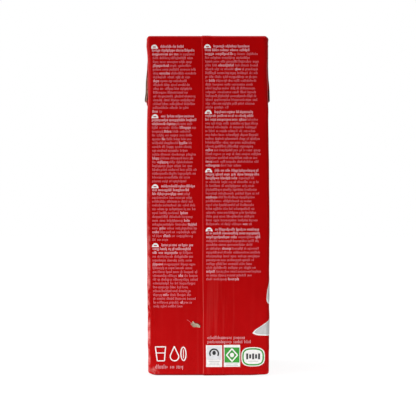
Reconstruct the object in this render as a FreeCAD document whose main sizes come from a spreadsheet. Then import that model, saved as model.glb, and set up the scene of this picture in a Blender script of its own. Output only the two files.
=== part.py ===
"""A shut one-litre drink carton: a tube of coated board, sealed flat at both ends and folded into a brick.

Millimetres, +Z up. The origin is on the ground under the middle of the brick. The panel with the lengthwise seam
faces -Y, and the two ears are folded down on the -X and +X panels.

Each fold of the board is a body of its own: the filled sleeve with its pressed-in base, the lap of the lengthwise
seam, the two ears, the strip of the top seal that lies folded over across the top and down both ears, and the two
flaps and the seal's end under the base. They are fused into the carton's single solid.
"""

import FreeCAD, Part
import os

import Sketcher

# The driving dimensions: cell alias, millimetres, and what it sizes.
SIZES = [
    ("carton_width", 71.4, "across the seam panel, at its ends"),
    ("carton_depth", 71.4, "from the seam panel to the front panel, at their ends"),
    ("carton_height", 199.4, "from the ground to the top panel"),
    ("edge_radius", 2.4, "upright edges"),
    ("rim_radius", 1.6, "edges round the top panel and the base"),
    ("belly_level", 84, "height at which the full panels bulge most"),
    ("panel_crown", 1.1, "how far the middle of a panel bulges beyond its edges there"),
    ("crown_start", 4, "how far from the ground and from the top the bulge of a panel ends"),
    ("board", 0.35, "one layer of board"),
    ("seam_edge", -3.05, "where the seam's cut edge runs up the panel, along X"),
    ("seam_overlap", 8, "width of the seam's lap"),
    ("fold_slack", 0.9, "how much longer an ear is than half the depth"),
    ("ear_grip", 9, "how far down an ear lies tight on its panel"),
    ("left_lift", 1.6, "how far the tip of the -X ear stands out"),
    ("right_lift", 0.8, "how far the tip of the +X ear stands out"),
    ("ear_shoulder", 1.2, "how far inside the corners of the top an ear starts"),
    ("seal_width", 8.5, "folded strips of the top and base seals"),
    ("base_rim", 3, "rim that the carton stands on"),
    ("base_hollow", 2.2, "how far the middle of the base is pressed in"),
    ("base_centre", 9, "side of the flat middle of the base"),
    ("flap_gap", 0.8, "from the middle of the base to the tip of each flap"),
    ("flap_recess", 1.3, "height of those tips above the ground"),
]

EMBED = 0.3  # how far a fold is sunk into what it lies on
CLEAR = 1  # how far a cutting outline runs past what it cuts
SUNK = 0.05  # how far the border of a panel's bulge lies below the panel

WIDTH, DEPTH, TOP = "Sizes.carton_width", "Sizes.carton_depth", "Sizes.carton_height"
EDGE, RIM, BOARD = "Sizes.edge_radius", "Sizes.rim_radius", "Sizes.board"
DOUBLE = f"(2 * {BOARD})"  # an ear, a flap and a seal are each two layers of board
BEND = f"({RIM} + {DOUBLE})"  # outer radius of an ear where it turns down over the top edge
TIP = f"({TOP} - {DEPTH} / 2 - Sizes.fold_slack)"  # height of the ears' tips


def plane(body, role):
    """One of a body's own origin planes."""
    return next(item for item in body.Origin.OriginFeatures if item.Role == role)


def swell(radius):
    """An arc of an outline that curves outwards on its way to the next corner."""
    return radius, 1


def dent(radius):
    """An arc of an outline that curves inwards on its way to the next corner."""
    return radius, -1


def arc_middle(start, end, radius, way):
    """The middle of the arc from start to end, to the right of its direction for way 1 and to the left for -1."""
    chord = end.sub(start)
    rise = radius - (radius**2 - chord.Length**2 / 4) ** 0.5
    right = FreeCAD.Vector(chord.y, -chord.x, 0).normalize()
    return start.add(end).multiply(0.5).add(right.multiply(way * rise))


def draw(body, name, role, corners, level="0"):
    """Sketches one closed outline on an origin plane lifted to a level, with every corner tied to the sheet.

    Corners run anticlockwise. Each is two expressions for its place, and the arc that leads to the next corner or
    None for a straight line.
    """
    sketch = body.newObject("Sketcher::SketchObject", name)
    sketch.AttachmentSupport = [(plane(body, role), "")]
    sketch.MapMode = "FlatFace"
    sketch.setExpression("AttachmentOffset.Base.z", level)

    def number(expression):
        return float(sketch.evalExpression(expression))

    def tie(constraint, expression):
        sketch.setExpression(f"Constraints[{sketch.addConstraint(constraint)}]", expression)

    points = [FreeCAD.Vector(number(across), number(along), 0) for across, along, _ in corners]
    begins = []  # which end of each line or arc is at its own corner: a sketch's arcs all run anticlockwise
    for start, end, (_, _, arc) in zip(points, points[1:] + points[:1], corners):
        radius, way = arc or (None, 1)
        begins.append(1 if way > 0 else 2)
        if arc is None:
            sketch.addGeometry(Part.LineSegment(start, end))
        else:
            middle = arc_middle(start, end, number(radius), way)
            sketch.addGeometry(Part.Arc(start, middle, end) if way > 0 else Part.Arc(end, middle, start))
    for index, (point, (across, along, arc)) in enumerate(zip(points, corners)):
        following = (index + 1) % len(corners)
        sketch.addConstraint(
            Sketcher.Constraint("Coincident", index, 3 - begins[index], following, begins[following]))
        tie(Sketcher.Constraint("DistanceX", -1, 1, index, begins[index], point.x), across)
        tie(Sketcher.Constraint("DistanceY", -1, 1, index, begins[index], point.y), along)
        if arc is not None:
            tie(Sketcher.Constraint("Radius", index, number(arc[0])), arc[0])
    return sketch


def straight(*places):
    """The corners of an outline of straight lines."""
    return [(across, along, None) for across, along in places]


def mirrored(corners):
    """An outline written for the +X side, run backwards so that it stays anticlockwise on the -X side."""
    arcs = [arc for _, _, arc in corners[-2::-1]] + [corners[-1][2]]
    return [(across, along, arc) for (across, along, _), arc in zip(corners[::-1], arcs)]


def pad(body, name, sketch, length, both_ways=False):
    """Extrudes a sketch along its normal, or by half the length both ways."""
    feature = body.newObject("PartDesign::Pad", name)
    feature.Profile = sketch
    feature.Midplane = both_ways
    feature.setExpression("Length", length)
    return feature


def pocket(body, name, sketch):
    """Cuts a sketch through the whole body, both ways."""
    feature = body.newObject("PartDesign::Pocket", name)
    feature.Profile = sketch
    feature.Type = "ThroughAll"
    feature.Midplane = True
    return feature


def loft(body, kind, name, sections, ruled=False):
    """Joins sections, the highest first, by an AdditiveLoft or a SubtractiveLoft."""
    feature = body.newObject(f"PartDesign::{kind}", name)
    feature.Profile = sections[0]
    feature.Sections = sections[1:]
    feature.Ruled = ruled
    return feature


def round_edges(body, name, base, chosen, radius):
    """Fillets the edges of a feature for which chosen(edge) holds."""
    body.Document.recompute()
    names = [f"Edge{number}" for number, edge in enumerate(base.Shape.Edges, 1) if chosen(edge)]
    feature = body.newObject("PartDesign::Fillet", name)
    feature.Base = (base, names)
    feature.setExpression("Radius", radius)
    return feature


def girth(layer):
    """The outline round the sleeve's square ends, as corners with an arc at each upright edge."""
    half_x, half_y = (f"({size} / 2 + {layer})" for size in (WIDTH, DEPTH))
    flat_x, flat_y = (f"({size} / 2 - {EDGE})" for size in (WIDTH, DEPTH))
    corners = []
    for sign_x, sign_y in ((1, -1), (1, 1), (-1, 1), (-1, -1)):
        front = (f"{sign_x} * {flat_x}", f"{sign_y} * {half_y}")
        side = (f"{sign_x} * {half_x}", f"{sign_y} * {flat_y}")
        start, end = (front, side) if sign_x * sign_y < 0 else (side, front)
        corners += [(*start, swell(f"({EDGE} + {layer})")), (*end, None)]
    return corners


def bulge_section(half_chord, half_length, crown, turned):
    """A block across the sleeve whose two ends are crowned panels: the -Y and +Y ones, or -X and +X when turned."""
    arc = crown and swell(f"({half_chord}^2 + {crown}^2) / (2 * {crown})")
    corners = []
    for sign_across, sign_along, to_next in ((-1, -1, arc), (1, -1, None), (1, 1, arc), (-1, 1, None)):
        across, along = f"{sign_across} * {half_chord}", f"{sign_along} * {half_length}"
        corners.append((f"-{along}", across, to_next) if turned else (across, along, to_next))
    return [(across.replace("--", ""), along, to_next) for across, along, to_next in corners]


def bulge(body, name, layer, turned=False):
    """Adds the bulge of two opposite panels, which fades out before the top and the base."""
    chord, length = (DEPTH, WIDTH) if turned else (WIDTH, DEPTH)
    half_chord = f"({chord} / 2 - {EDGE})"
    half_length = f"({length} / 2 + {layer} - {SUNK})"
    sections = [
        draw(body, f"{name}_{place}", "XY_Plane", bulge_section(half_chord, half_length, crown, turned), level)
        for place, crown, level in (("head", None, f"{TOP} - Sizes.crown_start"),
                                    ("belly", f"(Sizes.panel_crown + {SUNK})", "Sizes.belly_level"),
                                    ("foot", None, "Sizes.crown_start"))
    ]
    loft(body, "AdditiveLoft", name, sections)


def sleeve(document, name, layer="0"):
    """The filled tube: a brick with rounded edges and bulging panels, or the same brick a layer of board larger."""
    body = document.addObject("PartDesign::Body", name)
    brick = pad(body, f"{name}_brick", draw(body, f"{name}_girth", "XY_Plane", girth(layer)), f"{TOP} + {layer}")
    round_edges(body, f"{name}_rims", brick, lambda edge: edge.BoundBox.ZLength < EMBED, f"{RIM} + {layer}")
    bulge(body, f"{name}_front_back", layer)
    bulge(body, f"{name}_left_right", layer, turned=True)
    return body


def press_base(body):
    """Presses the base in, from the rim that the carton stands on to a small flat middle."""
    rim_x, rim_y = f"({WIDTH} / 2 - Sizes.base_rim)", f"({DEPTH} / 2 - Sizes.base_rim)"
    middle = "(Sizes.base_centre / 2)"
    sections = [
        draw(body, name, "XY_Plane", straight((f"-{x}", f"-{y}"), (x, f"-{y}"), (x, y), (f"-{x}", y)), level)
        for name, x, y, level in (("base_roof", middle, middle, "Sizes.base_hollow"), ("base_mouth", rim_x, rim_y, "0"))
    ]
    loft(body, "SubtractiveLoft", "base_press", sections, ruled=True)


def seam_lap(document):
    """The lap of the lengthwise seam: a band of an outer layer, up the -Y panel and over the top to the seal."""
    skin = sleeve(document, "lap_skin", BOARD)
    band = document.addObject("PartDesign::Body", "lap_band")
    outside = f"-({DEPTH} / 2 + Sizes.panel_crown + {BOARD} + {CLEAR})"
    inside, under, over = f"-({DEPTH} / 2 - {RIM})", f"{TOP} - {RIM}", f"{TOP} + {BOARD} + {CLEAR}"
    end = "-Sizes.seal_width / 2"
    outline = straight((outside, "0"), (inside, "0"), (inside, under), (end, under), (end, over), (outside, over))
    pad(band, "lap_band_pad", draw(band, "lap_band_side", "YZ_Plane", outline, "Sizes.seam_edge"),
        "Sizes.seam_overlap")
    lap = document.addObject("Part::Common", "seam_lap")
    lap.Base = skin
    lap.Tool = band
    return lap


def ear_line(side, lift, out):
    """Three places on an ear's outer face: on the top panel, below its bend and at its tip. out moves the face."""
    return (
        (f"{side} * ({WIDTH} / 2 - {RIM})", f"{TOP} + {out}"),
        (f"{side} * ({WIDTH} / 2 + {DOUBLE} + {out})", f"{TOP} - {BEND}"),
        (f"{side} * ({WIDTH} / 2 + {DOUBLE} + {lift} + {out})", TIP),
    )


def ear(document, name, side, lift):
    """A triangular ear: two layers of board that turn down over the top edge and lie on the side panel."""
    body = document.addObject("PartDesign::Body", name)
    start, bend, tip = ear_line(side, lift, "0")
    inside, grip = f"{side} * ({WIDTH} / 2 - {RIM} - {CLEAR})", f"{TOP} - Sizes.ear_grip"
    corners = [
        (*start, None),
        (inside, TOP, None),
        (inside, grip, None),
        (f"{side} * ({WIDTH} / 2 - {EMBED})", grip, None),
        (f"{side} * ({WIDTH} / 2 + {lift})", TIP, None),
        (*tip, None),
        (*bend, swell(BEND)),
    ]
    outline = corners if side > 0 else mirrored(corners)
    pad(body, f"{name}_fold", draw(body, f"{name}_side", "XZ_Plane", outline), DEPTH, both_ways=True)
    shoulder = f"({DEPTH} / 2 - Sizes.ear_shoulder)"
    low, high = f"{TIP} - {CLEAR}", f"{TOP} + {CLEAR}"
    spare = straight(("0", TIP), (f"-{shoulder}", TOP), (f"-{shoulder}", high), (f"-{DEPTH}", high),
                     (f"-{DEPTH}", low), (DEPTH, low), (DEPTH, high), (shoulder, high), (shoulder, TOP))
    pocket(body, f"{name}_triangle", draw(body, f"{name}_front", "YZ_Plane", spare))
    return body


def top_seal(document):
    """The strip of the top seal, folded over towards -Y: one band across the top and down both ears."""
    body = document.addObject("PartDesign::Body", "top_seal")
    right, right_under = (ear_line(1, "Sizes.right_lift", out) for out in (DOUBLE, f"(-{EMBED})"))
    left, left_under = (ear_line(-1, "Sizes.left_lift", out) for out in (DOUBLE, f"(-{EMBED})"))
    outer, inner = swell(f"{BEND} + {DOUBLE}"), dent(f"{BEND} - {EMBED}")
    corners = [
        (*right[2], None), (*right[1], outer), (*right[0], None),
        (*left[0], outer), (*left[1], None), (*left[2], None),
        (*left_under[2], None), (*left_under[1], inner), (*left_under[0], None),
        (*right_under[0], inner), (*right_under[1], None), (*right_under[2], None),
    ]
    strip = pad(body, "top_seal_strip", draw(body, "top_seal_side", "XZ_Plane", corners), "Sizes.seal_width")
    sheet = document.getObject("Sizes")
    end = 2 * sheet.board + 2 * EMBED  # longer than the strip's two square ends

    def along_fold(edge):
        return abs(edge.BoundBox.YMin) < EMBED and abs(edge.BoundBox.YMax) < EMBED and edge.Length > end

    round_edges(body, "top_seal_roll", strip, along_fold, BOARD)
    return body


def base_flap(document, name, side):
    """A triangular flap folded under the base, from the rim to its tip near the middle."""
    body = document.addObject("PartDesign::Body", name)
    root, tip = f"{side} * ({WIDTH} / 2 - Sizes.base_rim)", f"{side} * Sizes.flap_gap"
    half = f"({DEPTH} / 2 - Sizes.base_rim)"
    triangle = straight((tip, "0"), (root, f"-{half}"), (root, half))
    beyond = f"-{side} * {CLEAR}"
    wedge = straight((root, "0"), (tip, "Sizes.flap_recess"), (beyond, "Sizes.flap_recess"), (beyond, f"-{CLEAR}"),
                     (root, f"-{CLEAR}"))
    if side < 0:
        triangle = mirrored(triangle)
        wedge = mirrored(wedge)
    pad(body, f"{name}_board", draw(body, f"{name}_triangle", "XY_Plane", triangle), f"Sizes.base_hollow + {EMBED}")
    pocket(body, f"{name}_slope", draw(body, f"{name}_side", "XZ_Plane", wedge))
    return body


def base_seal(document):
    """The end of the base seal that shows between the tips of the flaps, folded over towards -Y."""
    body = document.addObject("PartDesign::Body", "base_seal")
    half = "(Sizes.seal_width + Sizes.flap_gap)"
    outline = straight((f"-{half}", "-Sizes.seal_width"), (half, "-Sizes.seal_width"), (half, "0"), (f"-{half}", "0"))
    sketch = draw(body, "base_seal_outline", "XY_Plane", outline, f"Sizes.base_hollow - {DOUBLE}")
    pad(body, "base_seal_strip", sketch, f"{DOUBLE} + {EMBED}")
    return body


def check(document, part):
    """Stops the build if a feature failed or the carton isn't one sound solid."""
    failed = [item.Name for item in document.Objects if {"Invalid", "Error"} & set(item.State)]
    if failed:
        raise RuntimeError(f"these failed to build: {', '.join(failed)}")
    if part.Shape.isNull() or not part.Shape.isValid() or len(part.Shape.Solids) != 1:
        raise RuntimeError(f"{part.Label} isn't one valid solid")


def main():
    document = FreeCAD.newDocument("drink_carton")
    sheet = document.addObject("Spreadsheet::Sheet", "Sizes")
    for row, (alias, value, note) in enumerate(SIZES, 1):
        sheet.set(f"A{row}", note)
        sheet.set(f"B{row}", str(value))
        sheet.setAlias(f"B{row}", alias)
    document.recompute()

    tube = sleeve(document, "sleeve")
    press_base(tube)
    folds = [
        tube,
        seam_lap(document),
        ear(document, "left_ear", -1, "Sizes.left_lift"),
        ear(document, "right_ear", 1, "Sizes.right_lift"),
        top_seal(document),
        base_flap(document, "left_flap", -1),
        base_flap(document, "right_flap", 1),
        base_seal(document),
    ]
    carton = document.addObject("Part::MultiFuse", "carton")
    carton.Label = "carton"
    carton.Shapes = folds
    carton.Refine = True
    carton.Placement = FreeCAD.Placement()
    document.recompute()
    check(document, carton)

    os.makedirs("parts", exist_ok=True)
    carton.Shape.exportStep(f"parts/{carton.Label}.step")


main()
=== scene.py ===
"""A shut one-litre drink carton on a pale floor: red coated board, creased and worn, with its print in plain shapes.

Metres, +Z up, the seam panel facing -Y and the camera. The carton's own skin, ears and seal replace the CAD node,
fold for fold. The print is thin shapes laid on the skin: bars where the small print is, and generic badges.
"""

import math
import random

import bpy
import numpy as np
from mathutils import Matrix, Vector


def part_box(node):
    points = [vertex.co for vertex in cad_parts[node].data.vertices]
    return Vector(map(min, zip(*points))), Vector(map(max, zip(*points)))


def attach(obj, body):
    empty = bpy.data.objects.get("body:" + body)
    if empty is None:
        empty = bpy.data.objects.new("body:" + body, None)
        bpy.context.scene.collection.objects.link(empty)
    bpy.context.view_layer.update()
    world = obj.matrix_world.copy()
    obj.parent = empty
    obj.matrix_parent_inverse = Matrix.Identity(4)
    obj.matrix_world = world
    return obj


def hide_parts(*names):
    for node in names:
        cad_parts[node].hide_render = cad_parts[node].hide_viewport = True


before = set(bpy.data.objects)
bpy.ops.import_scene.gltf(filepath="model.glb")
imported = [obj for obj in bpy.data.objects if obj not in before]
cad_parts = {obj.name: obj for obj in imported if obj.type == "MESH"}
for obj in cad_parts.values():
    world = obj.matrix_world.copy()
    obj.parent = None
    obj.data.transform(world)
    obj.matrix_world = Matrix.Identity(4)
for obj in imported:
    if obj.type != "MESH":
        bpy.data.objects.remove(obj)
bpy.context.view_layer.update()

MM = 0.001
_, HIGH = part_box("carton")

# The brick, as the CAD model has it, worked out from its box.
BOARD = 0.35 * MM  # one layer of board
DOUBLE = 2 * BOARD  # a seal strip
PRESSED = 0.6 * MM  # an ear or a seal strip where it is pressed flat
BELLY = 1.13 * MM  # how far the back panel's crown stands beyond the brick's square ends
HALF = HIGH.y - BELLY  # half the width and depth
TOP = HIGH.z - DOUBLE  # height of the top panel
EDGE = 2.4 * MM  # radius of the upright edges
RIM = 1.6 * MM  # radius round the top panel and the base
FLAT = HALF - EDGE  # half the flat width of a panel
QUARTER = 2 * FLAT + math.pi / 2 * EDGE  # a panel and one upright edge, along the girth
TIP = TOP - HALF - 0.9 * MM  # height of the ears' tips
SEAL_WIDTH = 8.5 * MM
SEAM = -3.05 * MM  # the cut edge of the lengthwise seam, along X
LAP_END = 8.4 * MM  # where its lap has sunk back to the panel

# How far the ears stand off their panels at some heights above the brick's foot, both in mm.
LEFT_LIFT = ((160.6, 0.9), (162.2, 1.38), (164, 1.42), (165.5, 1.3), (168, 0.95), (175, 0.8), (180, 0.35), (186, -0.08),
             (190, 0))
RIGHT_LIFT = ((160.6, 0.6), (162.2, 0.75), (164, 0.68), (170, 0.52), (174, 0.3), (176.7, 0), (180, -0.15), (185, -0.24),
              (190, -0.1))

LAP_ON_TOP = 0.5  # how much of the lap's step is left on the top panel

INK = 0.045 * MM  # how far print stands off the skin, and each further layer off the one below
INK_BACK = -0.03 * MM  # where the back of a print shape lies, under the skin


# ---------------------------------------------------------------- the shape of the skin


def smooth(low, high, value):
    """0 below low, 1 above high, and smooth between."""
    part = np.clip((value - low) / (high - low), 0, 1)
    return part * part * (3 - 2 * part)


def waves(seed, shortest, longest, count=9):
    """A gentle random relief, about 1 high, as a function of place."""
    rng = np.random.default_rng(seed)
    ways = rng.normal(size=(count, 3))
    ways /= np.linalg.norm(ways, axis=1)[:, None]
    lengths = rng.uniform(shortest, longest, count)
    phases = rng.uniform(0, 2 * math.pi, count)

    def relief(x, y, z):
        total = 0
        for way, length, phase in zip(ways, lengths, phases):
            total = total + np.sin((x * way[0] + y * way[1] + z * way[2]) * 2 * math.pi / length + phase)
        return total / count**0.5

    return relief


slack = waves(3, 26 * MM, 60 * MM)  # the board's broad give
ripple = waves(8, 9 * MM, 20 * MM)  # and its finer unevenness

# How far the two upright edges beside the seam panel stand out at some heights, both in mm.
LEFT_EDGE = ((0, -0.45), (3, -0.5), (9, -0.62), (15, -0.37), (20, -0.34), (38, -0.24), (62, 0.21), (85, 0.38),
             (103, 0.42), (123, 0.28), (132, 0.24), (150, 0.38), (156, 0.02), (158, -0.22), (164, -0.45), (172, -0.5),
             (179, -0.38), (185, -0.3), (187.5, -0.06), (191, 0.2), (193, 0.5), (195.5, 0.48), (200, -0.1))
RIGHT_EDGE = ((0, 0.1), (9, 0.27), (15, 0.34), (21, 0.17), (38, 0.46), (62, 0.34), (85, 0.7), (103, 0.39), (123, 0.29),
              (132, 0.13), (150, -0.12), (157, 0.1), (165, -0.25), (173, -0.55), (180, -0.68), (185, -0.55),
              (193, -0.44), (196, -0.5), (198, -0.66), (200, -0.8))

# Soft upright ridges low down on the seam panel, where the board is stretched: place along X, width and rise, in mm.
RIDGES = ((5.4, 2.2, 0.13), (22.0, 3.0, 0.05), (-22.5, 2.6, 0.08))

# Knocks in the board: place along the girth, height, radius and depth, in mm. The girth runs +X from the seam panel's
# middle.
KNOCKS = ((-34.6, 13, 5, 0.55), (-35.2, 24, 4, 0.3), (-34.4, 33, 6, 0.35), (-35, 47, 5, 0.3), (-34.6, 60, 7, 0.25),
          (-33.5, 3.5, 4, 0.5), (-29, 5, 3, -0.25), (-24, 2.5, 5, 0.2), (34.8, 6, 4, 0.35), (35.5, 40, 6, 0.25),
          (-35, 150, 8, 0.25), (35, 160, 7, 0.2), (36, 12, 5, 0.3), (-8.5, 30.5, 7, 0.12))


def outline(girth):
    """Places on the square outline, its outward normal, and how far across its panel each is, from -1 to 1."""
    run = np.mod(girth + FLAT, 4 * QUARTER)
    side = np.floor(run / QUARTER).astype(int)
    run = run - side * QUARTER
    turn = np.clip(run - 2 * FLAT, 0, None) / EDGE
    along = np.minimum(run, 2 * FLAT) - FLAT
    x, y = along + EDGE * np.sin(turn), -FLAT - EDGE * np.cos(turn)
    normal_x, normal_y = np.sin(turn), -np.cos(turn)
    for step in (1, 2, 3):  # a quarter turn for each panel passed
        turned = side >= step
        x, y = np.where(turned, -y, x), np.where(turned, x, y)
        normal_x, normal_y = np.where(turned, -normal_y, normal_x), np.where(turned, normal_x, normal_y)
    across = np.where(turn > 0, 1, along / FLAT)
    return x, y, normal_x, normal_y, side, across


def lap(x):
    """The seam's lap: a sharp step up at the cut edge, and a long run down to the panel."""
    step = smooth(SEAM - 0.22 * MM, SEAM + 0.22 * MM, x)
    valley = 0.07 * MM * np.exp(-(((x - SEAM + 0.9 * MM) / (0.8 * MM)) ** 2))
    return -valley + BOARD * step * (1 - 0.7 * smooth(0.3 * MM, 3 * MM, x)) * (1 - smooth(3 * MM, LAP_END, x))


def edge_shift(x, y, z):
    """How far a place moves along X because the upright edges aren't straight, the back ones less."""
    left, right = (np.interp(z / MM, *zip(*edge)) * MM for edge in (LEFT_EDGE, RIGHT_EDGE))
    fading = 1 - 0.6 * smooth(-HALF, HALF, y)
    share = (x + HALF) / (2 * HALF)
    return (right * share - left * (1 - share)) * fading


def foot_lift(x, y, z):
    """How far the rim of the base stands clear of the ground: least under the seam, most at the corners."""
    middle = 0.12 * MM * (1 - smooth(-3.2 * MM, -2.8 * MM, x) * (1 - smooth(8 * MM, 14 * MM, x)))
    corner = 0.85 * MM * smooth(30.5 * MM, 36 * MM, -x) + 0.5 * MM * smooth(24 * MM, 36 * MM, x)
    return (middle + corner) * (1 - smooth(2 * MM, 9 * MM, z)) * (1 - 0.8 * smooth(-HALF, HALF * 0.5, y))


def skin(girth, height, lift=0.0):
    """Places on the sides of the carton: how far round and how high, and how far off the skin."""
    girth, height = np.broadcast_arrays(np.asarray(girth, float), np.asarray(height, float))
    x, y, normal_x, normal_y, side, across = outline(girth)
    belly = np.sin(math.pi * np.clip(height / TOP, 0, 1) ** 0.8)  # fullest below the middle
    crown = 0.9 * MM * belly * (1 - across**2) ** 1.5
    free = np.clip(np.minimum(height, TOP - height) / (8 * MM), 0, 1)  # the folds hold the board at both ends
    out = lift + crown + free * (0.10 * MM * slack(x, y, height) + 0.035 * MM * ripple(x, y, height))
    out = out + np.where((side == 0) & (across < 1), lap(x), 0)
    low_down = 1 - smooth(45 * MM, 75 * MM, height)
    for place, width, rise in RIDGES:
        out = out + (side == 0) * low_down * rise * MM * np.exp(-(((x - place * MM) / (width * MM)) ** 2))
    from_middle = np.mod(girth + 2 * QUARTER, 4 * QUARTER) - 2 * QUARTER
    for place, level, radius, depth in KNOCKS:
        away = np.hypot(from_middle - place * MM, height - level * MM) / (radius * MM)
        out = out - depth * MM * np.exp(-2.5 * away**2)
    x_shift = edge_shift(x, y, height)
    return np.stack([x + normal_x * out + x_shift, y + normal_y * out, height + foot_lift(x, y, height)], axis=-1)


def new_piece(name, vertices, faces, material, others=(), marked=None):
    """A mesh object in the row frame that rides on the carton; marked gives the slots of faces of the others."""
    mesh = bpy.data.meshes.new(name)
    mesh.from_pydata([tuple(v) for v in vertices], [], [tuple(int(i) for i in f) for f in faces])
    mesh.validate()
    mesh.update()
    piece = bpy.data.objects.new(name, mesh)
    bpy.context.scene.collection.objects.link(piece)
    for finish in (material, *others):
        mesh.materials.append(finish)
    for number, slot in (marked or {}).items():
        mesh.polygons[number].material_index = slot
    mesh.shade_smooth()
    mesh.set_sharp_from_angle(angle=math.radians(45))
    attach(piece, "root")
    return piece


def grid_faces(rows, columns, closed):
    """Quads over a grid of vertices in rows, each row closed into a ring or not."""
    faces = []
    for row in range(0, (rows - 1) * columns, columns):
        for column in range(columns if closed else columns - 1):
            right = (column + 1) % columns
            faces.append((row + column, row + right, row + columns + right, row + columns + column))
    return faces


def outward(vertices, faces):
    """The faces of a closed mesh, all turned round if they look inward."""
    places = np.array(vertices)
    volume = sum(np.dot(places[face[0]], np.cross(places[b], places[c]))
                 for face in faces for b, c in zip(face[1:], face[2:]))
    return faces if volume > 0 else [face[::-1] for face in faces]


def girth_stations():
    """Places round the girth where the skin has vertices: even steps, closer at the edges and at the seam."""
    stations = []
    for side in range(4):
        start = side * QUARTER - FLAT
        stations += list(start + np.linspace(0, 2 * FLAT, 47)[:-1])
        stations += list(start + 2 * FLAT + np.linspace(0, QUARTER - 2 * FLAT, 8)[:-1])
    at_seam = [SEAM + step * MM for step in (-1.8, -1.2, -0.7, -0.3, -0.2, -0.1, 0, 0.1, 0.2, 0.3)]
    kept = [place for place in stations if not -2.2 * MM < place - SEAM < 0.8 * MM]
    return np.array(sorted(kept + at_seam))


def cap(stations, inset):
    """Places along one ring of the top or base: the outline shrunk by an inset."""
    x, y, normal_x, normal_y, _, _ = outline(stations)
    corner = max(EDGE - inset, 0.3 * MM)
    scale = (HALF - inset - corner) / FLAT
    return (x - normal_x * EDGE) * scale + normal_x * corner, (y - normal_y * EDGE) * scale + normal_y * corner


def base_height(x, y):
    """The underside, pressed in from its rim towards the middle."""
    edge = np.maximum(abs(x), abs(y))
    return 2.0 * MM * smooth(HALF - 2.5 * MM, 6 * MM, edge)


def top_height(x, y):
    """How far the top panel stands above its rim: slack, a dip behind the seal and a softer one before it."""
    inside = smooth(0, 10 * MM, HALF - np.maximum(abs(x), abs(y)))
    front_dip = -0.3 * MM * inside * (1 - smooth(0, 14 * MM, abs(y + 20 * MM)))
    back_dip = -0.24 * MM * inside * (y > 0)
    return inside * 0.12 * MM * slack(x, y, 0.3) + front_dip + back_dip


def make_skin(material):
    """The sleeve, top and base in one closed mesh, from the middle of the base to the middle of the top."""
    stations = girth_stations()
    side_x, side_y, normal_x, normal_y, _, _ = outline(stations)
    foot = skin(stations, RIM)
    rings = [(share, *cap(stations, RIM + share * (HALF - RIM))) for share in np.linspace(0.985, 0, 22)[:-1]]
    turns = np.linspace(0, math.pi / 2, 6)

    def rim_row(inset, height):
        """A row at the rounded rim: the side's own place, drawn in and lifted."""
        side_height = np.clip(height, RIM, TOP - RIM)
        place = skin(stations, side_height)
        place[:, 0] -= normal_x * inset
        place[:, 1] -= normal_y * inset
        place[:, 2] += height - side_height
        return place

    rows = []
    for share, x, y in rings:
        z = base_height(x, y) + foot_lift(foot[:, 0], foot[:, 1], 0) * (1 - share)
        rows.append(np.stack([x, y, z], axis=-1))
    rows += [rim_row(RIM - RIM * math.sin(turn), RIM - RIM * math.cos(turn)) for turn in turns]
    rows += [skin(stations, height) for height in np.linspace(RIM, TOP - RIM, 124)[1:-1]]
    lap_step = lap(side_x) * (side_y < -FLAT) * LAP_ON_TOP
    for number, turn in enumerate(turns):
        row = rim_row(RIM - RIM * math.cos(turn), TOP - RIM + RIM * math.sin(turn))
        row[:, 2] += lap_step * number / (len(turns) - 1)
        rows.append(row)
    for share, x, y in rings[::-1]:
        lap_step = np.where((y < 0) & (abs(x) < FLAT), lap(x), 0) * LAP_ON_TOP
        rows.append(np.stack([x, y, TOP + top_height(x, y) + lap_step], axis=-1))

    vertices = np.concatenate(rows)
    count = len(stations)
    faces = grid_faces(len(rows), count, closed=True)
    faces.append(list(range(count))[::-1])
    faces.append(list(range(len(vertices) - count, len(vertices))))
    return new_piece("skin", vertices, faces, material)


# ---------------------------------------------------------------- ears, seals and flaps


def fold_path(side, lift, end):
    """Where the outer face of an ear runs, from the top panel over its bend to its end, with its outward normals."""
    bend = RIM + PRESSED
    centre_x, centre_z = HALF - RIM, TOP - bend
    turns = np.linspace(math.pi / 2, 0, 9)
    places = [(centre_x + bend * math.cos(turn), centre_z + bend * math.sin(turn)) for turn in turns]
    for z in np.linspace(centre_z, end, 34)[1:]:
        places.append((HALF + PRESSED + np.interp(z / MM, *zip(*lift)) * MM, z))
    places = np.array(places) * (side, 1)
    along = np.gradient(places, axis=0)
    normals = np.stack([-along[:, 1], along[:, 0]], axis=-1) * side
    return places, normals / np.linalg.norm(normals, axis=1)[:, None]


def sweep(name, places, normals, sections, material, others=(), raw=None):
    """A closed bar along a path in X and Z. A section is a ring of (y, out) points; raw gives cut sides' slots."""
    vertices = []
    for (x, z), (normal_x, normal_z), section in zip(places, normals, sections):
        vertices += [(x + normal_x * out, y, z + normal_z * out) for y, out in section]
    count = len(sections[0])
    faces = grid_faces(len(sections), count, closed=True)
    marked = {number: raw[number % count] for number in range(len(faces)) if raw and number % count in raw}
    faces.append(tuple(range(count))[::-1])
    faces.append(tuple(range(len(vertices) - count, len(vertices))))
    return new_piece(name, vertices, outward(vertices, faces), material, others, marked)


def ear_section(half, wave):
    """Across an ear: flat faces and rounded folds at its two slanting sides."""
    radius = PRESSED / 2
    inner = max(half - radius, 0.05 * MM)
    ys = np.linspace(-inner, inner, 15)
    turns = np.linspace(math.pi / 2, -math.pi / 2, 7)[1:-1]
    ring = [(y, wave(y)) for y in ys]
    ring += [(inner + radius * math.cos(t), radius * math.sin(t) - radius + wave(inner)) for t in turns]
    ring += [(y, wave(y) - PRESSED) for y in ys[::-1]]
    ring += [(-inner - radius * math.cos(t), -radius - radius * math.sin(t) + wave(-inner)) for t in turns]
    return ring


# For the ears at -X and +X, in mm: how far their slanting edges curl out, how far these are tucked in, and how deep and
# at what height above the ground the ear is pressed against its panel.
EAR_GIVE = {-1: (0.25, 0.1, 0.1, 187), 1: (0.15, 0.6, 0.3, 182)}


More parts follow.
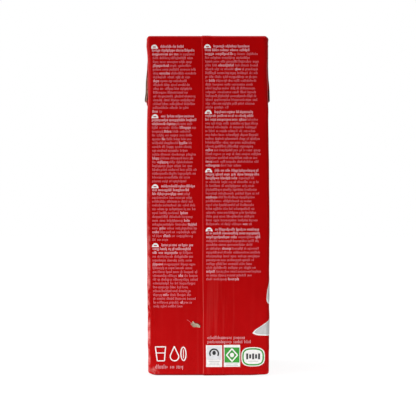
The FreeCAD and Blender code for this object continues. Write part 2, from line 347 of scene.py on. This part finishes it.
def ear_relief(side, x, z, half):
    """How far an ear of this half width stands off its path at one height, as a function of y."""
    curl, tuck, press, press_level = EAR_GIVE[side]
    free = 1 - smooth(TOP - 14 * MM, TOP - 4 * MM, z)
    pressed = press * MM * math.exp(-(((z / MM - press_level) / 5.5) ** 2))

    def relief(y):
        out = free * 0.09 * MM * ripple(x, y, z) + curl * MM * free * (abs(y) / half) ** 3
        out -= tuck * MM * smooth(14 * MM, 31 * MM, abs(y))
        if side < 0:  # drawn in beside the seal strip, whose raw edge shows past it
            out -= 0.5 * MM * smooth(7 * MM, 10 * MM, abs(y)) * (1 - smooth(176 * MM, 184 * MM, z))
        return out - pressed * smooth(4 * MM, 12 * MM, abs(y)) - 0.06 * MM

    return relief


def make_ear(name, side, lift, material):
    """A triangular ear, folded down over the panel at -X or +X."""
    end = TIP - 2.1 * MM
    places, normals = fold_path(side, lift, end)
    shoulder = HALF - 1.2 * MM
    sections = []
    for x, z in places:
        half = max(shoulder * min(1, max(0, (z - end) / (TOP - end))), 0.35 * MM)
        sections.append(ear_section(half, ear_relief(side, x, z, half)))
    return sweep(name, places, normals, sections, material)


def seal_section(gap, thick=PRESSED, near=0.0, cut=0.0):
    """Across the seal strip: two layers of board that part a little, raw at -Y and rolled over at the fold."""
    layer = (thick - gap) / 2
    roll = thick / 2
    open_end = cut - SEAL_WIDTH
    ys = np.linspace(open_end, -roll, 7)
    turns = np.linspace(math.pi / 2, -math.pi / 2, 7)[1:-1]
    slit = np.linspace(open_end + 0.1 * MM, -roll, 4)
    ring = [(y, thick + near) for y in ys]
    ring += [(-roll + roll * math.cos(t), roll + roll * math.sin(t) + near) for t in turns]
    ring += [(y, near) for y in ys[::-1]]
    ring += [(y, layer + near) for y in slit]
    ring += [(y, layer + gap + near) for y in slit[::-1]]
    return ring


def make_top_seal(material, outer, inner):
    """The seal strip over the top and down both ears, with the raw ends of its outer and inner layers."""
    left, left_normals = fold_path(-1, LEFT_LIFT, TIP + 0.7 * MM)
    right, right_normals = fold_path(1, RIGHT_LIFT, TIP + 0.7 * MM)
    across = np.linspace(-(HALF - RIM), HALF - RIM, 60)[1:-1]
    middle = np.stack([across, np.full_like(across, TOP)], axis=-1)
    places = np.concatenate([left[::-1], middle, right])
    normals = np.concatenate([left_normals[::-1], np.tile((0, 1), (len(middle), 1)), right_normals])
    sections = []
    for x, z in places:
        drop = smooth(0, HALF, TOP - z)
        gap = (0.04 + 0.12 * drop) * MM
        sunk = 0.32 * MM * (x < 0) * smooth(16 * MM, 24 * MM, TOP - z)  # the left ear lets the strip down into it
        thick = PRESSED + (0.28 if x < 0 else 0.12) * MM * smooth(10 * MM, 22 * MM, TOP - z) + sunk
        hump = 0.05 * MM * (ripple(x, 0, z) - 1) * (1 - drop)
        sections.append(seal_section(gap, thick, near=hump + 0.02 * MM - sunk, cut=0.12 * MM * ripple(x, 0.02, z)))
    count = len(sections[0])
    outer_end, inner_end = count - 1, count - 9  # the slit's eight points come last
    return sweep("top_seal", places, normals, sections, material, (outer, inner), {outer_end: 1, inner_end: 2})


def make_base(material):
    """The flaps and the seal's end, folded under the base and pressed in with it."""
    root, tip = HALF - 4 * MM, 0.8 * MM
    shares = np.linspace(0, 1, 24)
    sections = [ear_section(max(root * (1 - share), 0.4 * MM), lambda y: 0) for share in shares]
    for name, side in (("left_flap", -1), ("right_flap", 1)):
        places = [(side * (root + (tip - root) * share), 1.0 * MM + 1.0 * MM * share) for share in shares]
        sweep(name, np.array(places), np.tile((0, 1), (len(places), 1)), sections, material)
    places = np.array([(x, 1.2 * MM) for x in np.linspace(-9.3 * MM, 9.3 * MM, 12)])
    sections = [seal_section(0.1 * MM)] * len(places)
    sweep("base_seal", places, np.tile((0, 1), (len(places), 1)), sections, material)


# ---------------------------------------------------------------- print


class Print:
    """Thin closed shapes of one ink that follow the skin. Places are mm: along the girth and up."""

    def __init__(self, layer=1):
        self.lift = INK * layer
        self.places = []
        self.faces = []

    def add(self, rows, closed=False, filled=False):
        """A patch over a grid of places, with a back, and walls down to it. Closed rows are rings, from the outside in;
        a filled patch has a face in its last ring."""
        rows = np.asarray(rows, float)
        count, width, _ = rows.shape
        start, back = len(self.places), count * width
        for lift in (self.lift, INK_BACK):
            self.places += [(x, z, lift) for x, z in rows.reshape(-1, 2)]
        fronts = grid_faces(count, width, closed)
        self.faces += [tuple(start + i for i in face) for face in fronts]
        self.faces += [tuple(start + back + i for i in face[::-1]) for face in fronts]
        first, last = list(range(width)), list(range(back - width, back))
        if closed:
            borders = [first + first[:1]]
            if not filled:
                borders.append(last[::-1] + last[-1:])
        else:
            right = [row * width + width - 1 for row in range(1, count)]
            left = [row * width for row in range(count - 2, -1, -1)]
            borders = [first + right + last[::-1][1:] + left]
        for border in borders:
            self.faces += [(start + b, start + a, start + back + a, start + back + b)
                           for a, b in zip(border, border[1:])]
        if filled:
            self.faces.append(tuple(start + i for i in last))
            self.faces.append(tuple(start + back + i for i in last[::-1]))

    def bar(self, x, z, width, height, steps=1):
        """An upright rectangle about its middle."""
        across = np.linspace(-width / 2, width / 2, steps + 1)
        up = np.linspace(-height / 2, height / 2, max(1, round(steps * height / width)) + 1 if steps > 1 else 2)
        self.add([[(x + a, z + u) for a in across] for u in up])

    def shape(self, edge, rings):
        """A filled shape that can be seen whole from the middle of its edge, which runs anticlockwise."""
        edge = np.asarray(edge, float)
        middle = edge.mean(axis=0)
        self.add([middle + (edge - middle) * share for share in np.linspace(1, 0.04, rings)], closed=True, filled=True)

    def line(self, points, width, loop=False):
        """A stroke of even width along points."""
        points = np.asarray(points, float)
        if loop:
            along = np.roll(points, -1, axis=0) - np.roll(points, 1, axis=0)
        else:
            along = np.gradient(points, axis=0)
        normal = np.stack([-along[:, 1], along[:, 0]], axis=-1)
        normal /= np.linalg.norm(normal, axis=1)[:, None]
        self.add([points - normal * width / 2, points + normal * width / 2], closed=loop)

    def make(self, name, material):
        """The piece, laid on the skin."""
        x, z, lift = np.array(self.places).T
        return new_piece(name, skin(x * MM, z * MM, lift), self.faces, material)


def oval(x, z, wide, high, count=40, power=2.0):
    """Places round an ellipse, or nearer a rectangle for a higher power, anticlockwise."""
    turns = np.linspace(0, 2 * math.pi, count, endpoint=False)
    cos, sin = np.cos(turns), np.sin(turns)
    return np.stack([x + wide / 2 * np.sign(cos) * abs(cos) ** (2 / power),
                     z + high / 2 * np.sign(sin) * abs(sin) ** (2 / power)], axis=-1)


def arc(x, z, radius, start, end, count):
    """Places along part of a circle."""
    return [(x + radius * math.cos(turn), z + radius * math.sin(turn)) for turn in np.linspace(start, end, count)]


def sides(corners):
    """Places along the sides of a closed shape with these corners."""
    return np.concatenate([np.linspace(a, b, 8, endpoint=False) for a, b in zip(corners, np.roll(corners, -1, 0))])


def curve(points, count):
    """A smooth line through a few places."""
    points = np.asarray(points, float)
    padded = np.concatenate([2 * points[:1] - points[1:2], points, 2 * points[-1:] - points[-2:-1]])
    places = []
    for step in np.linspace(0, len(points) - 1, count):
        i = min(int(step), len(points) - 2)
        t = step - i
        a, b, c, d = padded[i:i + 4]
        places.append(0.5 * (2 * b + (c - a) * t + (2 * a - 5 * b + 4 * c - d) * t**2 + (3 * b - a - 3 * c + d) * t**3))
    return np.array(places)


PITCH = 2.241  # mm from row to row of the small print
SLANT = 0.0033  # how far the small print runs to +X for each unit down, as it isn't quite true to the seam
MARK_ROOM = 5.2  # mm that a block's first row is set in, for its mark
RAGGED = (0, 0.5, 1, 1.5, 2.2, 3, 4, 5.5)  # mm by which rows fall short of their column
WORD_LENGTHS = (2, 3, 4, 5, 5, 6, 7, 8, 9, 11, 13)  # in letters

# The small print, in mm: each column's left and right ends, then its blocks, by the first row's height, the number of
# rows, and the end of the last row.
COLUMNS = (
    ("left", -32.6, -6.6, ((192.8, 18, -26.0), (152.0, 18, -12.5), (111.0, 15, -23.0), (76.5, 17, -15.6))),
    ("right", -1.5, 30.5, ((193.0, 17, 12.0), (154.5, 15, 20.0), (120.2, 15, 25.0), (85.7, 14, 17.6))),
)


def words(rng, start, end, letter):
    """Spans of greeked words that fill a row."""
    place = start
    while place < end - 2 * letter:
        length = rng.choice(WORD_LENGTHS) * letter
        yield place, min(place + length, end)
        place += length + 0.85 * letter


def greek(ink, rng, start, end, level, tall, bold=False):
    """A word as a run of narrow bars, some taller, deeper or lower than the others."""
    stroke, space = ((0.2, 0.28), (0.2, 0.3)) if bold else ((0.13, 0.17), (0.26, 0.38))
    place = start
    while place < end - 0.2:
        width = rng.uniform(*stroke) * tall
        height, shift = tall, 0
        kind = rng.random()
        if kind < 0.2:
            height, shift = tall * 1.42, tall * 0.21
        elif kind < 0.3:
            height, shift = tall * 1.35, -tall * 0.18
        elif kind < 0.5:
            height = tall * 0.8
        ink.bar(place + width / 2, level + shift, width, height)
        place += width + rng.uniform(*space) * tall


def make_small_print(regular, strong, white, red):
    """Two columns of blocks of greeked rows, each with bolder first rows and a half-round mark at its head."""
    rng = random.Random(11)
    marks, mark_bars = Print(), Print(2)
    for name, left, right, blocks in COLUMNS:
        thin, thick = Print(), Print()
        for first, rows, last_end in blocks:
            for row in range(rows):
                level = first - row * PITCH
                drift = SLANT * (TOP / MM - level)
                start = left + drift + (MARK_ROOM if row == 0 else 0)
                end = drift + (last_end if row == rows - 1 else right - rng.choice(RAGGED))
                for word_start, word_end in words(rng, start, end, 0.72):
                    bold = row < 2 or (row == 2 and word_start < (left + right) / 2) or rng.random() < 0.05
                    greek(thick if bold else thin, rng, word_start, word_end, level, 1.12 if bold else 1.08, bold)
            middle, foot = left + 1.6 + SLANT * (TOP / MM - first), first - 1.05
            marks.shape([(middle + 2.0 * math.cos(turn), foot + 2.3 * math.sin(turn))
                         for turn in np.linspace(0, math.pi, 21)], 3)
            mark_bars.bar(middle, first - 0.15, 1.7, 0.6)
        thin.make(f"small_print_{name}", regular)
        thick.make(f"bold_print_{name}", strong)
    marks.make("block_marks", white)
    mark_bars.make("block_mark_bars", red)


def make_painted_seam_line(edge):
    """A pale line up the panel along the cut edge of the seam's lap, clearest low down: a painted highlight where the
    step catches the light.
    """
    cut = Print()
    levels = np.linspace(1.4, 197.6, 160)
    cut.line([(SEAM / MM, level) for level in levels], 0.36)
    cut.make("seam_line_highlight", edge)


def make_scuff(bare, scratch, shade, red):
    """A small tear low down beside the seam: bare board, a painted shadow along its upper edge under the raised lip of
    its print, and a scratch.
    """
    patch, lip, mark, dark = Print(), Print(6), Print(), Print(2)
    tear = curve([(-9.6, 29.3), (-8.7, 28.55), (-7.2, 28.6), (-5.0, 28.35), (-5.3, 29.7), (-6.8, 30.6), (-8.0, 30.75),
                  (-9.2, 32.0), (-9.5, 31.0), (-10.5, 30.5), (-9.6, 29.3)], 61)[:-1]
    patch.shape(tear, 6)
    # A painted shadow along the tear's upper right edge, under the lip.
    dark.line(curve([(-8.9, 32.0), (-7.9, 31.05), (-6.7, 30.85), (-5.2, 29.9), (-4.75, 28.6)], 24), 0.36)
    lip.line(curve([(-8.4, 32.2), (-7.6, 31.5), (-6.4, 31.3), (-4.9, 30.3), (-4.35, 29.0)], 24), 0.36)
    mark.line(curve([(-12.8, 32.9), (-11.3, 32.1), (-9.9, 30.9)], 12), 0.12)
    patch.make("scuff_board", bare)
    lip.make("scuff_lip", red)
    mark.make("scuff_scratch", scratch)
    dark.make("scuff_painted_shadow", shade)


def make_large_print(white, rose):
    """Rows of larger print over the badges and at the foot, and a tumbler, a drop and a grain of plain strokes."""
    rng = random.Random(5)
    ink, rows = Print(), Print()
    for start, end, level, tall in ((-0.6, 23.9, 22.2, 1.35), (-0.6, 24.8, 19.8, 1.35), (-31.4, -14.4, 5.0, 1.75)):
        for word_start, word_end in words(rng, start, end, 1.3):
            greek(rows, rng, word_start, word_end, level, tall)
    ink.line(sides(np.array([(-31.2, 17.0), (-30.3, 8.8), (-26.1, 8.8), (-25.2, 17.0)])), 0.6, loop=True)
    ink.line(np.linspace((-30.7, 13.4), (-25.7, 13.4), 7), 0.5)
    top, bowl = (-20.1, 17.3), arc(-20.1, 11.3, 2.5, -math.pi * 1.17, math.pi * 0.17, 25)
    ink.line(np.concatenate([np.linspace(top, bowl[0], 7)[:-1], bowl, np.linspace(bowl[-1], top, 7)[1:]]), 0.6)
    ink.line(oval(-14.8, 12.9, 3.0, 7.8), 0.6, loop=True)
    ink.line(np.linspace((-14.8, 10.4), (-14.8, 15.4), 7), 0.4)
    ink.make("large_print", white)
    rows.make("large_rows", rose)


def make_badges(white, green, grey, dark, pale):
    """Three plain badges: an arch and a dot on white, a rhombus on green, and bars in a green ring."""
    paper, field, pale_field = Print(), Print(), Print(2)
    marks, ring, rules, dark_marks = Print(2), Print(2), Print(2), Print(3)

    x = 3.2
    paper.bar(x, 11.6, 9.4, 12.7, steps=8)
    pale_field.bar(x, 13.55, 8.2, 7.6, steps=8)
    dark_marks.line(arc(x, 13.2, 2.5, -0.6, 3.74, 30), 0.9)
    dark_marks.shape(oval(x, 13.5, 2.1, 2.6, 20), 3)
    rules.bar(x, 9.5, 7.6, 0.22)
    for level, wide in ((8.5, 6.6), (7.5, 5.4), (6.5, 6.2)):
        rules.bar(x, level, wide, 0.42, steps=4)

    x = 13.7
    paper.bar(x, 17.4, 9.6, 1.5, steps=6)
    field.bar(x, 12.2, 8.8, 8.9, steps=8)
    for side in (-4.6, 4.6):
        paper.bar(x + side, 11.7, 0.4, 9.9, steps=2)
    marks.line(sides(np.array([(x, 8.5), (x + 3.2, 12.2), (x, 15.9), (x - 3.2, 12.2)])), 0.75, loop=True)
    marks.shape(oval(x, 12.2, 2.4, 2.6, 20), 3)
    paper.bar(x, 6.5, 9.6, 2.5, steps=6)
    for level in (6.1, 7.0):
        rules.bar(x, level, 7.4, 0.4, steps=4)

    x = 26.1
    paper.shape(oval(x, 11.1, 13.8, 11.3, 64, 3.0), 7)
    ring.line(oval(x, 11.1, 11.9, 9.4, 64, 3.0), 0.85, loop=True)
    for place, high in ((-3.5, 3.4), (-1.75, 2.4), (0, 3.4), (1.75, 2.4), (3.5, 3.4)):
        dark_marks.bar(x + place, 11.4, 1.1, high)
    rules.bar(x, 8.6, 6.0, 0.4, steps=4)

    paper.make("badge_paper", white)
    marks.make("badge_white_marks", white)
    field.make("badge_green_field", green)
    ring.make("badge_green_ring", green)
    rules.make("badge_grey_marks", grey)
    dark_marks.make("badge_dark_marks", dark)
    pale_field.make("badge_pale_field", pale)


def make_pebbles(white, grey):
    """Pale rounded shapes that come round the +X edge of the seam panel."""
    pale, rim = Print(2), Print()
    for points in (
        ((25.8, 24.95), (28.2, 23.95), (32.0, 23.65), (37.5, 23.75), (44.0, 25.35), (49.5, 29.35), (50.5, 35.35),
         (46.0, 38.85), (40.0, 37.35), (35.6, 32.75), (31.0, 29.35), (27.4, 26.95), (25.8, 24.95)),
        ((33.8, 44.95), (34.8, 42.55), (38.0, 41.85), (43.5, 43.85), (48.0, 48.85), (49.0, 55.35), (45.5, 60.35),
         (40.5, 60.85), (36.8, 56.85), (34.6, 50.85), (33.8, 44.95)),
    ):
        edge = curve(points, 97)[:-1]
        middle = edge.mean(axis=0)
        rim.shape(edge, 22)
        pale.shape(middle + (edge - middle) * 0.9, 20)
    rim.make("pebble_rims", white)
    pale.make("pebbles", grey)


# ---------------------------------------------------------------- materials


SOCKETS = {"base": "Base Color", "roughness": "Roughness", "specular": "Specular IOR Level", "normal": "Normal"}


def principled(name, **values):
    """A new material and its shader, with plain values set on the shader's own sockets."""
    material = bpy.data.materials.new(name)
    material.use_nodes = True
    shader = material.node_tree.nodes["Principled BSDF"]
    for socket, value in values.items():
        shader.inputs[SOCKETS[socket]].default_value = value
    return material, shader


def feed(shader, **values):
    """Joins node outputs to sockets of the shader."""
    for socket, value in values.items():
        shader.id_data.links.new(value, shader.inputs[SOCKETS[socket]])


def node(owner, kind, inputs=None, **settings):
    """Adds a node to a material or world: sockets by name or number in inputs, and its own settings."""
    made = owner.node_tree.nodes.new(kind)
    for setting, value in settings.items():
        setattr(made, setting, value)
    for socket, value in (inputs or {}).items():
        if isinstance(value, bpy.types.NodeSocket):
            owner.node_tree.links.new(value, made.inputs[socket])
        else:
            made.inputs[socket].default_value = value
    return made


def maths(owner, operation, first, second):
    """One operation on two values."""
    return node(owner, "ShaderNodeMath", {0: first, 1: second}, operation=operation).outputs[0]


def remap(material, value, start, end, low=0.0, high=1.0, kind="LINEAR"):
    """A value from the range start to end, moved to the range low to high and held there."""
    inputs = {"Value": value, "From Min": start, "From Max": end, "To Min": low, "To Max": high}
    return node(material, "ShaderNodeMapRange", inputs, interpolation_type=kind).outputs["Result"]


def noise(material, place, scale, detail, roughness=0.5):
    """Cloudy noise over the places."""
    inputs = {"Vector": place, "Scale": scale, "Detail": detail, "Roughness": roughness}
    return node(material, "ShaderNodeTexNoise", inputs).outputs["Fac"]


def blended(material, share, first, second):
    """The first colour, turned into the second by a share."""
    return node(material, "ShaderNodeMix", {0: share, 6: first, 7: (*second, 1)}, data_type="RGBA").outputs[2]


def bumps(material, height, strength, reach, **under):
    """The normal of a fine relief, on top of the normal under it."""
    inputs = {"Height": height, "Strength": strength, "Distance": reach}
    return node(material, "ShaderNodeBump", inputs | under).outputs["Normal"]


def object_place(material):
    """The place on the object, in metres of the row frame."""
    return node(material, "ShaderNodeTexCoord").outputs["Object"]


def part_of(material, place, axis):
    """A place's X, Y or Z."""
    return node(material, "ShaderNodeSeparateXYZ", {0: place}).outputs[axis]


def stretched(material, place, factors):
    """A place with each part multiplied by its factor."""
    return node(material, "ShaderNodeVectorMath", {0: place, 1: factors}, operation="MULTIPLY").outputs[0]


def from_point(material, place, point):
    """How far a place is from a point."""
    return node(material, "ShaderNodeVectorMath", {0: place, 1: point}, operation="DISTANCE").outputs["Value"]


def ramp(material, value, stops):
    """A colour ramp over a value."""
    made = node(material, "ShaderNodeValToRGB", {0: value})
    elements = made.color_ramp.elements
    while len(elements) < len(stops):
        elements.new(0.5)
    for element, (position, colour) in zip(elements, stops):
        element.position = position
        element.color = (*colour, 1)
    return made.outputs["Color"]


def painted_streak_highlights(material, place, colour):
    """The colour with faint pale upright streaks low down beside the seam: painted highlights where the soft ridges
    there catch the light.
    """
    lines = noise(material, stretched(material, place, (1, 1, 0.03)), 420, 2)
    share = remap(material, lines, 0.5, 0.75, high=0.24)
    low = remap(material, part_of(material, place, "Z"), 85 * MM, 45 * MM)
    away = from_point(material, stretched(material, place, (1, 1, 0)), (6 * MM, -HALF, 0))
    near = remap(material, away, 15 * MM, 6 * MM, low=0.15)
    for part in (low, near):
        share = maths(material, "MULTIPLY", share, part)
    return blended(material, share, colour, (0.55, 0.055, 0.05))


def edge_wear_and_highlight(material, place, colour):
    """The colour turned pale along the seam panel's left edge, mostly low down, and at its corner: partly rubbed print,
    partly a painted highlight where the light from the left catches the edge.
    """
    away = from_point(material, stretched(material, place, (1, 1, 0)), (-HALF, -HALF, 0))
    near = remap(material, away, 2.3 * MM, 1.3 * MM, kind="SMOOTHSTEP")
    low = remap(material, part_of(material, place, "Z"), 120 * MM, 20 * MM)
    corner = from_point(material, place, (4.2 * MM - HALF, -HALF, 2.4 * MM))
    corner_share = remap(material, corner, 3.4 * MM, 1.2 * MM, high=0.7)
    patchiness = remap(material, noise(material, place, 210, 4, 0.65), 0.42, 0.62)
    share = maths(material, "MAXIMUM", maths(material, "MULTIPLY", near, low), corner_share)
    return blended(material, maths(material, "MULTIPLY", share, patchiness), colour, (0.62, 0.2, 0.19))


def board_material():
    """Red print under a satin plastic coat: faint mottling, a slightly uneven gloss and the coat's fine ripple."""
    material, shader = principled("red_board", specular=0.045)
    place = object_place(material)
    blotch = noise(material, place, 55, 5, 0.6)
    colour = ramp(material, blotch, ((0.3, (0.365, 0.0003, 0.0008)), (0.5, (0.385, 0.0003, 0.001)),
                                     (0.72, (0.41, 0.001, 0.0018))))
    fine = bumps(material, noise(material, place, 900, 2), 0.06, 0.4 * MM)
    # Painted highlights in the base colour: pale upright streaks low beside the seam, and a pale left edge that is
    # partly rubbed print.
    feed(shader, base=edge_wear_and_highlight(material, place, painted_streak_highlights(material, place, colour)),
         roughness=remap(material, blotch, 0, 1, 0.3, 0.42),
         normal=bumps(material, noise(material, place, 140, 3), 0.12, 1 * MM, Normal=fine))
    return material


def raw_board_material(name, pale, stains):
    """The board's torn or cut fibre: grey beige with brown flecks and stains, and darker at the +X ear, painted shade
    where the ear lies out of the light.
    """
    material, shader = principled(name, roughness=0.9, specular=0.1)
    place = object_place(material)
    fibre = noise(material, place, 1500, 4, 0.7)
    shades = ((0.3, (0.16, 0.11, 0.07)), (0.5, (0.42, 0.33, 0.23)), (0.75, (0.6, 0.5, 0.38)))
    colour = ramp(material, fibre, [(stop, tuple(pale * channel for channel in shade)) for stop, shade in shades])
    stained = remap(material, noise(material, place, 130, 2), 0.48, 0.62, high=stains)
    # Painted shade: the raw edges turn dark towards the +X ear.
    painted_shade = remap(material, part_of(material, place, "X"), 30 * MM, 34 * MM)
    colour = blended(material, maths(material, "MAXIMUM", stained, painted_shade), colour, (0.04, 0.024, 0.018))
    feed(shader, base=colour, normal=bumps(material, fibre, 0.5, 0.2 * MM))
    return material


def painted_seam_material():
    """A painted highlight on the seam's cut edge: pale rose low down, nearly the print's red higher up."""
    material, shader = principled("seam_edge", roughness=0.5, specular=0.1)
    level = remap(material, part_of(material, object_place(material), "Z"), 0, TOP)
    feed(shader, base=ramp(material, level, ((0.0, (0.52, 0.06, 0.05)), (0.45, (0.48, 0.03, 0.028)),
                                             (1.0, (0.43, 0.012, 0.012)))))
    return material


def ink_material(name, colour, thin=0.75):
    """Print on the coat: the ink's colour, a little uneven, down to a thinner one."""
    material, shader = principled(name, roughness=0.45, specular=0.25)
    cloud = noise(material, object_place(material), 700, 3)
    faded = tuple(channel * thin for channel in colour)
    feed(shader, base=ramp(material, cloud, ((0.35, faded), (0.6, colour))))
    return material


# ---------------------------------------------------------------- the scene around the carton


def make_camera():
    """Level, square on to the seam panel, about two thirds of a metre away."""
    distance = 650 * MM  # from the panel
    half_view = 121.88 * MM  # half the width that the picture shows at the panel
    eye_level = 98.33 * MM
    data = bpy.data.cameras.new("camera")
    data.lens = data.sensor_width / 2 * distance / half_view
    camera = bpy.data.objects.new("camera", data)
    camera.location = (0, -HALF - distance, eye_level)
    camera.rotation_euler = (math.pi / 2, 0, 0)
    bpy.context.scene.collection.objects.link(camera)
    bpy.context.scene.camera = camera


def area_light(name, place, target, size, power):
    """A white soft box that faces a target and that the camera doesn't see."""
    data = bpy.data.lights.new(name, "AREA")
    data.shape = "RECTANGLE"
    data.size, data.size_y = size
    data.energy = power
    lamp = bpy.data.objects.new(name, data)
    lamp.location = place
    x, y, z = np.array(target) - np.array(place)
    lamp.rotation_euler = (math.atan2(math.hypot(x, y), -z), 0, math.atan2(y, x) - math.pi / 2)
    lamp.visible_camera = False
    bpy.context.scene.collection.objects.link(lamp)


def sees_backdrop(owner):
    """1 for the rays that see the white backdrop: those of the camera, and glossy and transmitted ones."""
    path = node(owner, "ShaderNodeLightPath").outputs
    total = path["Is Camera Ray"]
    for kind in ("Is Glossy Ray", "Is Transmission Ray"):
        total = maths(owner, "MAXIMUM", total, path[kind])
    return total


def make_stage():
    """A white floor that keeps a faint shadow near the carton, and a white background."""
    mesh = bpy.data.meshes.new("floor")
    mesh.from_pydata([(-3, -3, 0), (3, -3, 0), (3, 3, 0), (-3, 3, 0)], [], [(0, 1, 2, 3)])
    floor = bpy.data.objects.new("floor", mesh)
    bpy.context.scene.collection.objects.link(floor)
    material, shader = principled("floor", base=(0.82, 0.82, 0.82, 1), roughness=0.9)
    white = node(material, "ShaderNodeEmission", {"Strength": 1.1})
    away = node(material, "ShaderNodeVectorMath", {0: object_place(material)}, operation="LENGTH").outputs["Value"]
    glow = remap(material, away, 120 * MM, 300 * MM, low=0.8)  # the shadow shows near the carton alone
    share = maths(material, "MULTIPLY", sees_backdrop(material), glow)
    mix = node(material, "ShaderNodeMixShader", {0: share, 1: shader.outputs[0], 2: white.outputs[0]})
    material.node_tree.links.new(mix.outputs[0], material.node_tree.nodes["Material Output"].inputs["Surface"])
    mesh.materials.append(material)

    world = bpy.data.worlds.new("studio")
    world.use_nodes = True
    bpy.context.scene.world = world
    light = world.node_tree.nodes["Background"]
    light.inputs["Color"].default_value = (1, 1, 1, 1)
    light.inputs["Strength"].default_value = 0.06
    white = node(world, "ShaderNodeBackground", {"Color": (1, 1, 1, 1)})
    mix = node(world, "ShaderNodeMixShader", {0: sees_backdrop(world), 1: light.outputs[0], 2: white.outputs[0]})
    world.node_tree.links.new(mix.outputs[0], world.node_tree.nodes["World Output"].inputs["Surface"])


def make_lights():
    """Soft boxes to the left, before and over the carton, and a faint one on the ground before its foot."""
    area_light("key", (-1.15, -0.8, 0.3), (0, 0, 0.06), (0.6, 0.7), 10.2)
    area_light("side", (-1.0, 0.25, 0.15), (0, 0, 0.05), (0.35, 0.8), 8.5)
    area_light("fill", (0.9, -1.1, 0.3), (0, 0, 0.06), (0.9, 0.9), 1.25)
    area_light("top", (0, -0.04, 1.2), (0, -0.04, 0), (1.0, 1.0), 13.8)
    area_light("low", (0, -0.107, 0.001), (0, -0.107, 1), (0.2, 0.14), 0.088)


make_camera()
make_stage()
make_lights()
RED = board_material()
skin_piece = make_skin(RED)
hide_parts("carton")
make_ear("left_ear", -1, LEFT_LIFT, RED)
make_ear("right_ear", 1, RIGHT_LIFT, RED)
# The outer layer's raw edge gets a darker copy of the raw board than the inner layer's: painted shade.
make_top_seal(RED, raw_board_material("outer_layer", 0.5, 0.9), raw_board_material("inner_layer", 1.15, 0.3))
make_base(RED)
WHITE = ink_material("white_ink", (0.8, 0.79, 0.78), 0.9)
ROSE = ink_material("bold_ink", (0.72, 0.42, 0.46), 0.8)
PINK = ink_material("thin_white_ink", (0.68, 0.23, 0.27), 0.8)
GREEN = ink_material("green_ink", (0.035, 0.3, 0.03))
GREY = ink_material("grey_ink", (0.5, 0.5, 0.5), 0.9)
DARK = ink_material("dark_ink", (0.02, 0.02, 0.022))
make_small_print(PINK, ROSE, WHITE, RED)
make_large_print(WHITE, ROSE)
make_painted_seam_line(painted_seam_material())
make_scuff(raw_board_material("torn_board", 1.35, 0.55), PINK, ink_material("tear_painted_shadow", (0.06, 0.006, 0.006)), RED)
make_badges(WHITE, GREEN, GREY, DARK, ink_material("pale_grey_ink", (0.64, 0.65, 0.67), 0.92))
make_pebbles(WHITE, GREY)

bpy.context.scene.view_settings.view_transform = "Standard"
